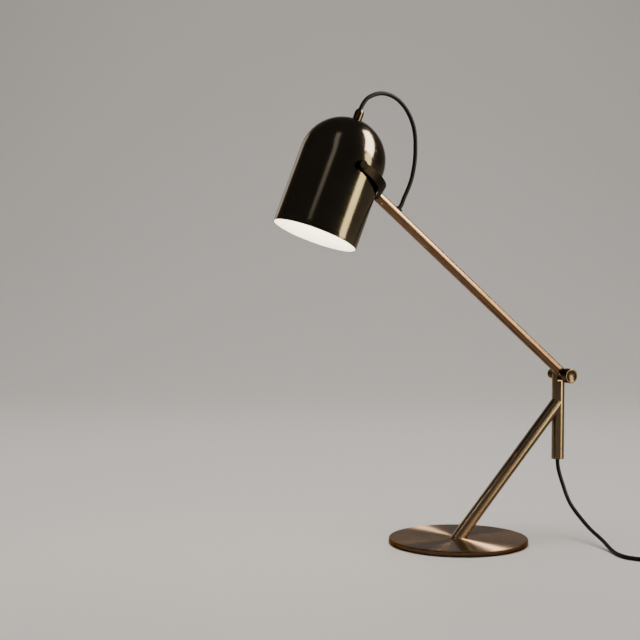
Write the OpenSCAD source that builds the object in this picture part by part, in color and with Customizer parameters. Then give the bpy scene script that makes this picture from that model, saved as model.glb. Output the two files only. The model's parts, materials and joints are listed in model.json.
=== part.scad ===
// Adjustable table lamp: a round foot, a leaning stem joined to a short upright, a swing arm on a
// clamped elbow, and a bullet-shaped shade that tilts in a half-ring yoke.
// Millimetres, +Z up, origin at the centre of the foot's underside. The stem and upright lie in the
// XZ plane, the head is on the -X side, and the clamping knob is on the -Y side.

/* [Foot] */
// Diameter of the round foot plate
base_d = 170; // [140:1:220]
// Thickness of the foot plate
base_t = 6; // [5:0.5:12]
// Rounding of the plate's upper edge
base_round = 1; // [0.5:0.1:2]
// Thickness of the pad under the plate
pad_t = 1; // [0.5:0.1:2]
// Distance from the plate's edge to the pad's edge
pad_inset = 5; // [2:0.5:20]
// Diameter of the bolt that holds the stem
foot_bolt_d = 6; // [5:0.5:7]
// Length of thread in the stem's plug
foot_grip = 10; // [8:0.5:12]

/* [Stem and upright] */
// Outside diameter of the stem and upright tubes
tube_d = 16; // [15:0.5:20]
// Wall of the stem and upright tubes
tube_wall = 1.5; // [1:0.1:2]
// Distance from the foot's centre to the upright's axis
upright_x = 148; // [120:1:170]
// Height of the upright's lower end
upright_low = 94.5; // [70:0.5:110]
// Height where the stem's axis meets the upright's axis
joint_z = 167.5; // [140:0.5:172]
// Height of the elbow pivot
pivot_z = 201.5; // [196:0.5:230]
// Length of the cord bush in the upright's lower end
bush_len = 12; // [8:1:20]

/* [Elbow] */
// Diameter of the hollow elbow bolt
bolt_d = 7; // [6:0.5:8]
// Bore of the elbow bolt, which the leads pass through
bolt_bore = 4; // [2:0.5:4.5]
// Depth of the flat on each side of the upright's head
head_cut = 2; // [1.5:0.1:3]
// Depth of the flat on each side of the arm's knuckle
knuckle_cut = 1.25; // [0.5:0.05:2]
// Length of the upright's head below the pivot
head_len = 14; // [12:0.5:20]
// Length of the arm's knuckle from the pivot
knuckle_len = 14; // [12:0.5:24]
// Length of the solid ends inside their tubes
plug_in = 12; // [8:1:20]
// Thickness of the friction washer and of the knob's washer
washer_t = 1; // [0.5:0.1:2]
// Diameter of those washers
washer_d = 14; // [11:0.5:16]
// Diameter of the cap on the bolt's far end
cap_d = 12.5; // [10:0.5:16]
// Length of that cap
cap_len = 10; // [7:0.5:14]
// Diameter of the clamping knob
knob_d = 18.5; // [14:0.5:26]
// Length of the clamping knob
knob_len = 10; // [8:0.5:16]
// Depth of the dish in the knob's face
knob_dish = 1.2; // [0.5:0.1:2]

/* [Arm] */
// Outside diameter of the arm tube
arm_d = 12.5; // [12:0.5:16]
// Wall of the arm tube
arm_wall = 1.2; // [0.8:0.1:1.6]
// Distance from the elbow pivot to the back of the yoke
arm_len = 350; // [270:1:390]
// Angle of the arm above the horizontal at rest
arm_angle = 39.4; // [30:0.1:60]
// Distance from the back of the yoke to the cord hole
cord_hole_back = 33; // [28:1:70]
// Length of the solid tip between the tube and the yoke
tip_len = 6; // [4:0.5:12]

/* [Yoke] */
// Clearance between the shade's sides and the yoke's strip
yoke_gap = 2; // [1.5:0.1:6]
// Length of the strip's straight legs behind the pivots
leg_len = 4; // [3.5:0.1:10]
// Turn of the yoke up from the arm's line
yoke_turn = 5.8; // [0:0.1:10]
// Width of the yoke's strip at the arm
strip_w = 14; // [12:0.5:16]
// Width of the yoke's strip at the pivots
strip_end_w = 8.5; // [8:0.5:12]
// Thickness of the yoke's strip
strip_t = 2; // [1.5:0.1:3]
// Diameter of the bush that turns in the yoke
pin_d = 6; // [5.5:0.1:8]
// Diameter of the bush's collar between yoke and shade
collar_d = 10; // [9:0.5:12]
// Diameter of the pivot screw's head
pivot_head_d = 11; // [9:0.5:14]
// Height of the pivot screw's head
pivot_head_h = 3; // [2:0.5:8]

/* [Shade] */
// Outside diameter of the shade
shade_d = 100.5; // [94:0.5:120]
// Wall of the shade
shade_wall = 0.9; // [0.6:0.1:1.5]
// Length of the shade from its mouth to the top of its dome
shade_len = 144; // [140:1:180]
// Distance from the mouth to the tilt pivot
shade_pivot = 86; // [78:1:90]
// Turn of the shade in the yoke at rest, from square to the yoke
shade_turn = 11.3; // [0:0.1:15]

/* [Lampholder and bulb] */
// Diameter of the cord grip on the dome
grip_d = 11; // [10.5:0.5:14]
// Height of the cord grip
grip_h = 13; // [11:0.5:20]
// Diameter of the threaded nipple
nipple_d = 8; // [7:0.5:8.5]
// Bore of the nipple
nipple_bore = 5.6; // [5.4:0.1:6]
// Height of the nut under the dome
nut_h = 3; // [2:0.5:5]
// Diameter of the lampholder
holder_d = 28; // [26:0.5:34]
// Wall of the lampholder's cap and sleeve
holder_wall = 1.5; // [1:0.1:2]
// Length of the lampholder's cap
holder_cap_len = 16; // [14:0.5:24]
// Length of the lampholder's sleeve
holder_len = 34; // [32:0.5:40]
// Diameter of the bulb's screw cap
bulb_cap_d = 13.9; // [13.5:0.1:14]
// Length of the bulb's screw cap
bulb_cap_len = 20; // [18:0.5:22]
// Diameter of the bulb
bulb_d = 45; // [35:1:50]
// Length of the bulb's glass
bulb_len = 58; // [52:1:66]

/* [Cord] */
// Diameter of the cord
cord_d = 5; // [4.5:0.1:5.2]
// Turns of cord in the coil
coil_turns = 7.25; // [5.25:1:8.25]
// Radius of the coil's innermost turn
coil_in_r = 20; // [20:0.5:26]
// Gap between neighbouring turns
turn_gap = 0.5; // [0.45:0.01:0.7]
// Thickness of the tie round the coil
tie_t = 0.6; // [0.5:0.1:0.9]
// Width of the tie round the coil
tie_w = 8; // [5:0.5:10]

/* [Switch and plug] */
// Length of the in-line switch
switch_len = 66; // [60:1:80]
// Width of the in-line switch
switch_w = 24; // [22:0.5:30]
// Wall of the switch's two halves
switch_wall = 2; // [1.5:0.1:2.5]
// Length of the rocker
rocker_len = 20; // [16:0.5:24]
// Width of the rocker
rocker_w = 9; // [7:0.5:10]
// Tilt of the rocker to each side
rocker_tilt = 7; // [4:0.5:8]
// Width of the plug across its pins
plug_w = 34; // [30:0.5:40]
// Thickness of the plug
plug_t = 14; // [13:0.5:18]
// Length of the plug's body
plug_len = 34; // [30:1:44]
// Length of the plug's tapered strain relief
relief_len = 24; // [20:1:40]
// Diameter of the plug's pins
prong_d = 4; // [3.5:0.1:5]
// Free length of the plug's pins
prong_len = 19; // [15:0.5:22]
// Distance between the plug's pins
prong_gap = 19; // [17:0.5:20]

/* [Hidden] */
$fn = 64;

// Fits
slip = 0.05;     // radial clearance of a turning or sliding fit
seam = 0.03;     // gap at a welded or soldered curved seam
side_gap = 0.5;  // play of the yoke on its pivots
over = 1;        // how far a cut runs past a face
far = 400;       // reach of a cut that only has to clear the lamp

// Places on the foot, stem and upright
base_top = pad_t + base_t;
stem_lean = atan2(upright_x, joint_z - base_top);
stem_len = norm([upright_x, joint_z - base_top]);
tube_bore = tube_d - 2 * tube_wall;
tube_plug_d = tube_bore - 2 * slip;
stem_plug_len = 30;
foot_bolt_x = tan(stem_lean) * foot_grip / 2;
foot_head_d = 10;
foot_head_h = 2.4;
foot_washer_t = 0.8;
foot_washer_d = 12;
foot_recess = foot_head_h + foot_washer_t + 0.3;

// Places at the elbow, measured from the upright's axis towards the knob
head_flat = tube_d / 2 - head_cut;
knuckle_flat = arm_d / 2 - knuckle_cut;
arm_out = head_flat + washer_t + knuckle_flat;
knob_seat = arm_out + knuckle_flat + washer_t;
side_bore = bolt_bore - 0.5;
cap_skin = 2.5;
knob_skin = 3;
knob_round = 1.2;
dish_edge_r = knob_d / 2 - knob_round - 0.4;
dish_r = (dish_edge_r * dish_edge_r + knob_dish * knob_dish) / (2 * knob_dish);
lead_bore = cord_d + 0.4;
head_flat_len = washer_d / 2 + 1;

// Places along the arm, measured from the elbow pivot, and of the tilt pivots
arm_bore = arm_d - 2 * arm_wall;
arm_plug_d = arm_bore - 2 * slip;
shade_r = shade_d / 2;
yoke_in_r = shade_r + yoke_gap;
yoke_out_r = yoke_in_r + strip_t;
yoke_angle = arm_angle - yoke_turn;
arm_start = [upright_x, -arm_out, pivot_z];
arm_way = [-cos(arm_angle), 0, sin(arm_angle)];
yoke_way = [-cos(yoke_angle), 0, sin(yoke_angle)];
head_place = arm_start + arm_len * arm_way + (leg_len + yoke_out_r) * yoke_way;
tip_start = arm_len - tip_len;
cord_hole_at = arm_len - cord_hole_back;
grommet_d = cord_d + 2;
grommet_flange_d = grommet_d + 2;
grommet_top = arm_d / 2 + 1.2;
yoke_screw_d = 4;
yoke_screw_head_d = 7;
yoke_screw_len = 14;

// Places in the shade, measured up its axis from the tilt pivot
shade_lean = yoke_angle - shade_turn;
shade_in_r = shade_r - shade_wall;
mouth_z = -shade_pivot;
dome_z = shade_len - shade_r - shade_pivot;
pivot_screw_d = 4;
pivot_nut_d = 8;
pivot_nut_h = 3.2;
pivot_nut_over = max(0, pivot_nut_d / 2 - dome_z);
pivot_nut_seat = sqrt(pow(shade_in_r, 2) - pow(pivot_nut_d / 2, 2) - pow(pivot_nut_over, 2)) - seam;
nipple_hole_d = nipple_d + 2 * slip;
grip_seat = dome_z + sqrt(pow(shade_r, 2) - pow(nipple_hole_d / 2, 2));
grip_thread = 7;
grip_top = grip_seat + grip_h;
lead_end = grip_top - 0.2;
nipple_nut_d = 16;
nut_top = dome_z + sqrt(pow(shade_in_r, 2) - pow(nipple_nut_d / 2, 2));
holder_top = nut_top - nut_h;
sleeve_top = holder_top - holder_cap_len;
sleeve_low = sleeve_top - holder_len;
holder_plate = 2;
core_t = 8;
core_d = holder_d - 2 * holder_wall - 2 * slip;
shell_wall = 0.6;
shell_bore = bulb_cap_d + 0.3;
shell_len = bulb_cap_len + 2;
contact_t = 1.5;
contact_d = 6;
bulb_cap_top = sleeve_top - core_t - contact_t;
bulb_neck_z = bulb_cap_top - bulb_cap_len;
bulb_neck_d = bulb_cap_d - 1;
bulb_wall = 0.8;
bulb_centre_z = bulb_neck_z - bulb_len + bulb_d / 2;
bulb_shoulder_r = bulb_d * 0.45;
bulb_shoulder_z = bulb_centre_z + bulb_d * 0.2;

// The cord on the table
cord_r = cord_d / 2;
cord_sides = 10;
coil_sides = 6;
coil_rings = 24;
coil_step = cord_d + turn_gap;
coil_half = coil_turns / 2;
coil_out_r = coil_in_r + coil_step * coil_half;
coil_low_z = tie_t + 0.1 + cord_r;
coil_high_z = coil_low_z + coil_step;
climb = 0.5;
cord_inside = 4;
switch_x = 172;
switch_y = -198;
switch_end = switch_x + switch_len;
switch_axis_z = coil_high_z;
switch_h = 2 * switch_axis_z;
switch_corner = 7;
coil_room = coil_out_r + cord_r + 1;
coil_x = switch_end + sqrt(pow(coil_room, 2) - pow(coil_out_r - switch_w / 2, 2));
coil_y = switch_y + coil_out_r;
plug_x = coil_x + coil_out_r;
plug_y = coil_y + 40;
plug_axis_z = plug_t / 2;
plug_corner = 5;
relief_tip_d = cord_d + 3;
relief_root_d = plug_t - 1;
prong_inside = 8;
prong_root_d = prong_d - 1;

// The rocker in the switch
rocker_room = 0.7;
rocker_pivot_z = switch_h - switch_wall - 2;
rocker_rise = 4.2;
rocker_dish = 1;
rocker_drop = 2.5;
rocker_pin_d = 2;
lug_t = 2;
lug_drop = rocker_pin_d + 1.5;
rocker_pin_len = rocker_w + 2 * rocker_room + 2 * lug_t;
screw_d = 3;
screw_head_d = 5.5;
screw_head_h = 2;
boss_d = 6.5;
boss_x = switch_corner + 1.5;
terminal = [9, 5, 6];

// The mains cord from the upright to the switch
mains_route = [[148, 0, 94.5], [148, 0, 90], [148, -2.2, 81], [148, -7, 71], [148, -13, 61],
    [147.5, -20, 51], [147, -28.5, 42], [146.5, -39, 34.5], [146, -52, 27], [144.5, -65.5, 21],
    [142.5, -80, 16], [140, -96, 12], [137, -110.5, 8.5], [133.5, -124, 5], [130, -136.5, 3],
    [126.5, -147.5, 2.6], [124.5, -158, 2.6], [124.5, -168.5, 2.6], [127.5, -177, 2.6], [131.5, -184, 2.7],
    [138, -190.5, 3.4], [146.5, -195.5, 5], [156, -197.8, 7], [164.5, -198, 8.4], [170.5, -198, 8.7],
    [176, -198, 8.7]];

// The cord loop over the head, from the arm's grommet to the grip, measured from the shade pivot
head_route = [[85.5, -35.5], [91, -24.5], [95.5, -13.5], [98.5, -1.5], [100.5, 11.5], [101, 24.5],
    [100.5, 37.5], [98, 50], [93, 61.5], [86, 71.5], [77, 79.5], [66.5, 84.5], [55, 86], [44, 83.5],
    [35, 78.5]];

// Frames of the assembly
module at_stem() { translate([0, 0, base_top]) rotate([0, stem_lean, 0]) children(); }
module at_upright() { translate([upright_x, 0, 0]) children(); }
module at_elbow() { translate([upright_x, 0, pivot_z]) rotate([90, 0, 0]) children(); }
module at_arm() {
    translate(arm_start) rotate([0, arm_angle - 90, 0]) children();
}
module at_head() { translate(head_place) children(); }
module at_yoke() { at_head() rotate([0, yoke_angle - 90, 0]) children(); }
module at_shade() { at_head() rotate([0, shade_lean, 0]) children(); }
module at_pivots() {
    for (side = [0, 180]) at_head() rotate([0, 0, side]) rotate([90, 0, 0]) children();
}
module at_switch() { translate([switch_x, switch_y, 0]) children(); }
module at_plug() { translate([plug_x, plug_y, plug_axis_z]) rotate([-90, 0, 0]) children(); }

// Shapes that repeat
module ring(outer, inner, h) {
    difference() {
        cylinder(d = outer, h = h);
        translate([0, 0, -over]) cylinder(d = inner, h = h + 2 * over);
    }
}

module round_rect(size, r) {
    square([size.x - 2 * r, size.y], center = true);
    square([size.x, size.y - 2 * r], center = true);
    for (x = [-1, 1], y = [-1, 1])
        translate([x * (size.x / 2 - r), y * (size.y / 2 - r)]) circle(r);
}

module button(d, h, r) {
    rotate_extrude() {
        square([d / 2 - r, h]);
        square([d / 2, h - r]);
        translate([d / 2 - r, h - r]) intersection() {
            circle(r);
            square(r);
        }
    }
}

module below(z) { translate([-far / 2, -far / 2, z - far]) cube(far); }

// Frames along a route: the tangent at each point, and a side direction carried along without twist
function unit(v) = v / norm(v);
function tangents(p) = [for (i = [0 : len(p) - 1])
    unit(p[min(i + 1, len(p) - 1)] - p[max(i - 1, 0)])];
function across(v, t) = unit(v - (v * t) * t);
function sides_along(t, i, found) = i == len(t) ? found :
    sides_along(t, i + 1, concat(found, [across(found[i - 1], t[i])]));

module tube(p, r, n, first_side) {
    t = tangents(p);
    s = sides_along(t, 1, [across(first_side, t[0])]);
    last = len(p) - 1;
    points = [for (i = [0 : last], k = [0 : n - 1])
        p[i] + r * (cos(360 * k / n) * s[i] + sin(360 * k / n) * cross(t[i], s[i]))];
    walls = [for (i = [0 : last - 1], k = [0 : n - 1], half = [0, 1])
        let (a = i * n + k, b = i * n + (k + 1) % n)
        half == 0 ? [a, a + n, b] : [b, a + n, b + n]];
    start_face = [for (k = [1 : n - 2]) [0, k, k + 1]];
    end_face = [for (k = [1 : n - 2]) [last * n, last * n + k + 1, last * n + k]];
    polyhedron(points, concat(walls, start_face, end_face));
}

// Foot
module base_plate() {
    color("darkgoldenrod") difference() {
        translate([0, 0, pad_t]) button(base_d, base_t, base_round);
        translate([foot_bolt_x, 0, 0]) {
            cylinder(d = foot_bolt_d + 0.4, h = base_top + over);
            cylinder(d = foot_washer_d + 0.6, h = pad_t + foot_recess);
        }
    }
}

module base_pad() { color("dimgray") cylinder(d = base_d - 2 * pad_inset, h = pad_t); }

module stem_bolt() {
    seat = pad_t + foot_recess - foot_washer_t;
    color("silver") translate([foot_bolt_x, 0, seat - foot_head_h]) {
        cylinder(d = foot_head_d, h = foot_head_h);
        cylinder(d = foot_bolt_d - 2 * slip, h = base_top + foot_grip - 0.5 - seat + foot_head_h);
    }
}

module stem_washer() {
    color("silver") translate([foot_bolt_x, 0, pad_t + foot_recess - foot_washer_t])
        ring(foot_washer_d, foot_bolt_d + 0.4, foot_washer_t);
}

// Stem and upright
module stem_plug() {
    color("gray") difference() {
        at_stem() translate([0, 0, -tube_d]) cylinder(d = tube_plug_d, h = tube_d + stem_plug_len);
        below(base_top);
        translate([foot_bolt_x, 0, base_top - over]) cylinder(d = foot_bolt_d, h = foot_grip + over);
    }
}

module lower_stem() {
    color("peru") difference() {
        at_stem() translate([0, 0, -tube_d]) ring(tube_d, tube_bore, tube_d + stem_len);
        below(base_top);
        at_upright() cylinder(r = tube_d / 2 + seam, h = far);
    }
}

module upright_tube() {
    color("peru") at_upright() translate([0, 0, upright_low])
        ring(tube_d, tube_bore, pivot_z - head_len - upright_low);
}

module cord_bush() {
    color("black") at_upright() translate([0, 0, upright_low])
        ring(tube_plug_d, cord_d + 2 * slip, bush_len);
}

module upright_lead() {
    color("black") at_upright() translate([0, 0, upright_low])
        cylinder(d = cord_d, h = pivot_z - bolt_d / 2 - over - upright_low);
}

// The solid head on top of the upright, rounded about the pivot and flat on both sides
module upright_head() {
    color("peru") difference() {
        union() {
            intersection() {
                at_upright() translate([0, 0, pivot_z - head_len])
                    cylinder(d = tube_d, h = head_len + tube_d);
                union() {
                    at_elbow() cylinder(d = tube_d, h = 2 * tube_d, center = true);
                    at_upright() translate([-tube_d, -tube_d, pivot_z - head_len])
                        cube([2 * tube_d, 2 * tube_d, head_len]);
                }
            }
            at_upright() translate([0, 0, pivot_z - head_len - plug_in])
                cylinder(d = tube_plug_d, h = plug_in + over);
        }
        for (side = [-1, 1]) at_upright()
            translate([-tube_d, side * (head_flat + tube_d) - tube_d, pivot_z - head_flat_len])
                cube([2 * tube_d, 2 * tube_d, far]);
        at_elbow() cylinder(d = bolt_d + 2 * slip, h = 2 * tube_d, center = true);
        at_upright() translate([0, 0, pivot_z - head_len - plug_in - over])
            cylinder(d = lead_bore, h = head_len + plug_in + over);
    }
}

// Elbow
module elbow_bolt() {
    low = -head_flat - cap_len + cap_skin;
    high = knob_seat + knob_len - knob_skin;
    color("silver") difference() {
        at_elbow() translate([0, 0, low]) cylinder(d = bolt_d, h = high - low);
        at_elbow() translate([0, 0, low + cap_skin])
            cylinder(d = bolt_bore, h = arm_out - low - cap_skin);
        at_upright() translate([0, 0, pivot_z - bolt_d]) cylinder(d = side_bore, h = bolt_d);
        at_arm() cylinder(d = side_bore, h = bolt_d);
    }
}

module elbow_cap() {
    color("peru") difference() {
        at_elbow() rotate([180, 0, 0]) translate([0, 0, head_flat]) button(cap_d, cap_len, 2);
        at_elbow() rotate([180, 0, 0]) translate([0, 0, head_flat - over])
            cylinder(d = bolt_d + 2 * slip, h = cap_len - cap_skin + over);
    }
}

module friction_washer() {
    color("black") at_elbow() translate([0, 0, head_flat]) ring(washer_d, bolt_d + 0.2, washer_t);
}

module knob_washer() {
    color("silver") at_elbow() translate([0, 0, knob_seat - washer_t])
        ring(washer_d, bolt_d + 0.2, washer_t);
}

module elbow_knob() {
    color("peru") at_elbow() translate([0, 0, knob_seat]) difference() {
        button(knob_d, knob_len, knob_round);
        translate([0, 0, -over]) cylinder(d = bolt_d + 2 * slip, h = knob_len - knob_skin + over);
        translate([0, 0, knob_len - knob_dish + dish_r]) sphere(dish_r, $fn = 360);
    }
}

// Arm
module arm_knuckle() {
    color("peru") at_arm() difference() {
        union() {
            intersection() {
                translate([0, 0, -arm_d]) cylinder(d = arm_d, h = arm_d + knuckle_len);
                union() {
                    rotate([90, 0, 0]) cylinder(d = arm_d, h = 2 * arm_d, center = true);
                    translate([-arm_d, -arm_d, 0]) cube([2 * arm_d, 2 * arm_d, knuckle_len]);
                }
            }
            translate([0, 0, knuckle_len - over]) cylinder(d = arm_plug_d, h = plug_in + over);
        }
        for (side = [-1, 1])
            translate([-arm_d, side * (knuckle_flat + arm_d) - arm_d, -2 * arm_d])
                cube([2 * arm_d, 2 * arm_d, 2 * arm_d + knuckle_len - 1]);
        rotate([90, 0, 0]) cylinder(d = bolt_d + 2 * slip, h = 2 * arm_d, center = true);
        cylinder(d = lead_bore, h = knuckle_len + plug_in + over);
    }
}

module arm_tube() {
    color("peru") at_arm() difference() {
        translate([0, 0, knuckle_len]) ring(arm_d, arm_bore, tip_start - knuckle_len);
        translate([0, 0, cord_hole_at]) rotate([0, 90, 0])
            cylinder(d = grommet_d + 2 * slip, h = arm_d);
    }
}

module arm_lead() {
    color("black") at_arm() {
        translate([0, 0, bolt_d / 2 + over])
            cylinder(d = cord_d, h = cord_hole_at + cord_r - bolt_d / 2 - over);
        translate([0, 0, cord_hole_at]) rotate([0, 90, 0]) cylinder(d = cord_d, h = grommet_top);
    }
}

module arm_grommet() {
    color("black") at_arm() difference() {
        translate([0, 0, cord_hole_at]) rotate([0, 90, 0]) {
            translate([0, 0, cord_r + 0.8]) cylinder(d = grommet_d, h = grommet_top - cord_r - 0.8);
            difference() {
                cylinder(d = grommet_flange_d, h = grommet_top);
                rotate([0, 90, 0]) cylinder(r = arm_d / 2 + seam, h = 4 * grommet_d, center = true);
            }
        }
        translate([0, 0, cord_hole_at]) rotate([0, 90, 0])
            cylinder(d = cord_d + 2 * slip, h = arm_d);
    }
}

// The solid end of the arm, saddled to the back of the yoke
module arm_tip() {
    color("peru") difference() {
        at_arm() {
            translate([0, 0, tip_start]) cylinder(d = arm_d, h = tip_len + 2);
            translate([0, 0, tip_start - plug_in]) cylinder(d = arm_plug_d, h = plug_in + over);
        }
        at_yoke() translate([0, 0, -leg_len]) rotate([0, 90, 0])
            cylinder(r = yoke_out_r + seam, h = far, center = true);
        at_yoke() translate([0, 0, -leg_len - yoke_in_r - yoke_screw_len - over])
            cylinder(d = yoke_screw_d, h = yoke_screw_len + over);
    }
}

// Yoke: a bent strip with straight legs and round ends, which carries the tilt pivots
module yoke_screw_shape(grow) {
    sink = yoke_screw_head_d / 2 - yoke_screw_d / 2;
    translate([0, 0, -leg_len - yoke_in_r - 0.2]) rotate([180, 0, 0]) {
        cylinder(d1 = yoke_screw_head_d + grow, d2 = yoke_screw_d + grow, h = sink);
        cylinder(d = yoke_screw_d + grow, h = yoke_screw_len - over);
    }
}

module yoke_screw() { color("silver") at_yoke() yoke_screw_shape(-2 * slip); }

// What is cut from the plain strip, seen from its side: it narrows from the arm to its round ends
module strip_waste() {
    back = leg_len + yoke_out_r + over;
    difference() {
        translate([-strip_w, -back]) square([2 * strip_w, back + 2 * strip_w]);
        polygon([[-strip_end_w / 2, 0], [strip_end_w / 2, 0], [strip_w / 2, -back], [-strip_w / 2, -back]]);
        circle(d = strip_end_w);
    }
}

module yoke() {
    color("saddlebrown") difference() {
        at_yoke() {
            translate([0, 0, -leg_len]) rotate([0, 90, 0]) rotate([0, 0, -90]) rotate_extrude(angle = 180)
                translate([yoke_in_r, -strip_w / 2]) square([strip_t, strip_w]);
            for (side = [0, 180]) rotate([0, 0, side]) translate([-strip_w / 2, yoke_in_r, -leg_len])
                cube([strip_w, strip_t, leg_len + strip_w]);
        }
        at_yoke() rotate([90, 0, 0]) linear_extrude(far, center = true) strip_waste();
        at_pivots() cylinder(d = pin_d + 2 * slip, h = yoke_out_r + over);
        at_yoke() yoke_screw_shape(2 * slip);
        at_yoke() translate([0, 0, -leg_len - yoke_in_r - 0.3])
            cylinder(d = yoke_screw_head_d + 2 * slip, h = strip_t);
    }
}

// The loop of cord from the arm to the dome
module head_cord() {
    route = [for (p = head_route) head_place + [p.x, 0, p.y]];
    normal = [sin(arm_angle), 0, cos(arm_angle)];
    up = [sin(shade_lean), 0, cos(shade_lean)];
    first = arm_start + arm_way * cord_hole_at + normal * grommet_top;
    last = head_place + up * grip_top;
    color("black") tube(concat([first, first + normal * cord_d], route, [last + up * cord_d, last]),
        cord_r, cord_sides, [0, 1, 0]);
}

// Shade
module shade_outline(r) {
    translate([0, mouth_z]) square([r, dome_z - mouth_z]);
    translate([0, dome_z]) intersection() {
        circle(r);
        square(r);
    }
}

module shade_shell() {
    color("goldenrod") at_shade() difference() {
        rotate_extrude() difference() {
            shade_outline(shade_r);
            shade_outline(shade_in_r);
            translate([0, mouth_z - over]) square([shade_in_r, 2 * over]);
            square([nipple_hole_d / 2, far]);
        }
        rotate([90, 0, 0]) cylinder(d = pivot_screw_d + 2 * slip, h = 2 * shade_d, center = true);
    }
}

// Bushes that turn in the yoke, with a collar that reaches the shade
module pivot_bushes() {
    color("peru") difference() {
        at_pivots() {
            translate([0, 0, shade_r - 2]) cylinder(d = collar_d, h = yoke_gap + 2 - side_gap);
            translate([0, 0, shade_r + yoke_gap / 2])
                cylinder(d = pin_d, h = yoke_gap / 2 + strip_t + side_gap);
        }
        at_shade() cylinder(r = shade_r + seam, h = 2 * collar_d, center = true, $fn = 360);
        at_pivots() cylinder(d = pivot_screw_d + 2 * slip, h = far);
    }
}

module pivot_screws() {
    color("peru") at_pivots() {
        translate([0, 0, yoke_out_r + side_gap]) button(pivot_head_d, pivot_head_h, 1.5);
        translate([0, 0, pivot_nut_seat - pivot_nut_h - 1])
            cylinder(d = pivot_screw_d, h = yoke_out_r + side_gap + 1 - pivot_nut_seat + pivot_nut_h + 1);
    }
}

module pivot_nuts() {
    color("silver") at_pivots() translate([0, 0, pivot_nut_seat - pivot_nut_h]) difference() {
        cylinder(d = pivot_nut_d, h = pivot_nut_h, $fn = 6);
        translate([0, 0, -over]) cylinder(d = pivot_screw_d + 2 * slip, h = pivot_nut_h + 2 * over);
    }
}

// Cord grip and nipple on the dome
module cord_grip() {
    neck = 3;
    color("peru") at_shade() translate([0, 0, grip_seat]) difference() {
        union() {
            cylinder(d = grip_d, h = grip_h - neck);
            translate([0, 0, grip_h - neck]) cylinder(d1 = grip_d, d2 = cord_d + 3, h = neck);
        }
        translate([0, 0, -over]) cylinder(d = nipple_d + 2 * slip, h = grip_thread + over);
        cylinder(d = cord_d + 2 * slip, h = grip_h + over);
        translate([0, 0, grip_thread + 1.6]) rotate([0, 90, 0]) cylinder(d = 2, h = grip_d);
    }
}

module grip_screw() {
    color("silver") at_shade() translate([cord_r + slip, 0, grip_seat + grip_thread + 1.6])
        rotate([0, 90, 0]) cylinder(d = 2 - 2 * slip, h = grip_d / 2 - cord_r - 0.3);
}

module holder_lead() {
    color("black") at_shade() translate([0, 0, holder_top - holder_plate - 5])
        cylinder(d = cord_d, h = lead_end - holder_top + holder_plate + 5);
}

module nipple() {
    low = holder_top - holder_plate - 2;
    color("silver") at_shade() translate([0, 0, low])
        ring(nipple_d, nipple_bore, grip_seat + grip_thread - low);
}

module nipple_nut() {
    color("silver") at_shade() translate([0, 0, holder_top]) difference() {
        cylinder(d = nipple_nut_d, h = nut_h, $fn = 6);
        translate([0, 0, -over]) cylinder(d = nipple_d + 2 * slip, h = nut_h + 2 * over);
    }
}

// Lampholder and bulb
module holder_cap() {
    color("black") at_shade() translate([0, 0, sleeve_top]) difference() {
        button(holder_d, holder_cap_len, 3);
        translate([0, 0, -over])
            cylinder(d = holder_d - 2 * holder_wall, h = holder_cap_len - holder_plate + over);
        cylinder(d = nipple_d + 2 * slip, h = holder_cap_len + over);
    }
}

module holder_core() {
    color("white") at_shade() translate([0, 0, sleeve_top - core_t]) cylinder(d = core_d, h = core_t);
}

module holder_sleeve() {
    color("black") at_shade() translate([0, 0, sleeve_low])
        ring(holder_d, holder_d - 2 * holder_wall, holder_len);
}

module screw_shell() {
    color("gold") at_shade() translate([0, 0, sleeve_top - core_t - shell_len])
        ring(shell_bore + 2 * shell_wall, shell_bore, shell_len);
}

module centre_contact() {
    color("gold") at_shade() translate([0, 0, bulb_cap_top]) cylinder(d = contact_d, h = contact_t);
}

module bulb_cap() {
    tip = 3;
    color("silver") at_shade() translate([0, 0, bulb_neck_z]) {
        cylinder(d = bulb_cap_d, h = bulb_cap_len - tip);
        translate([0, 0, bulb_cap_len - tip]) cylinder(d1 = bulb_cap_d - 1, d2 = contact_d, h = tip);
    }
}

module bulb_form(shrink) {
    translate([0, 0, bulb_centre_z]) sphere(bulb_d / 2 - shrink);
    translate([0, 0, bulb_shoulder_z])
        cylinder(r1 = bulb_shoulder_r - shrink, r2 = bulb_neck_d / 2 - shrink,
            h = bulb_neck_z - bulb_shoulder_z);
}

module bulb_glass() {
    color("ivory") at_shade() difference() {
        bulb_form(0);
        bulb_form(bulb_wall);
        translate([0, 0, bulb_neck_z - over]) cylinder(r = bulb_neck_d / 2 - bulb_wall, h = 2 * over);
    }
}

// Mains cord, switch, coil and plug on the table
module mains_cord() { color("black") tube(mains_route, cord_r, cord_sides, [1, 0, 0]); }

function ease(u) = let (v = max(0, min(1, u))) v * v * (3 - 2 * v);
function coil_point(t) = let (
        r = coil_in_r + coil_step * abs(t - coil_half),
        rise = ease((coil_half - t) / climb + 0.5),
        a = 360 * t - 90)
    [coil_x + r * cos(a), coil_y + r * sin(a), coil_low_z + (coil_high_z - coil_low_z) * rise];
coil_count = round(coil_turns * coil_rings);
coil_loops = [for (i = [0 : coil_count]) coil_point(i * coil_turns / coil_count)];
coil_start = [for (x = [switch_end - cord_inside, coil_x - cord_d]) [x, switch_y, switch_axis_z]];
coil_route = concat(coil_start, coil_loops, [coil_loops[coil_count] + [0, cord_d, 0]]);
coil_gap = min([for (i = [0 : coil_count], j = [i + coil_rings / 2 : coil_count])
    norm(coil_loops[i] - coil_loops[j])]) - cord_d;
echo(coil_gap = coil_gap);

module cord_coil() { color("black") tube(coil_route, cord_r, coil_sides, [0, 0, 1]); }

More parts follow.
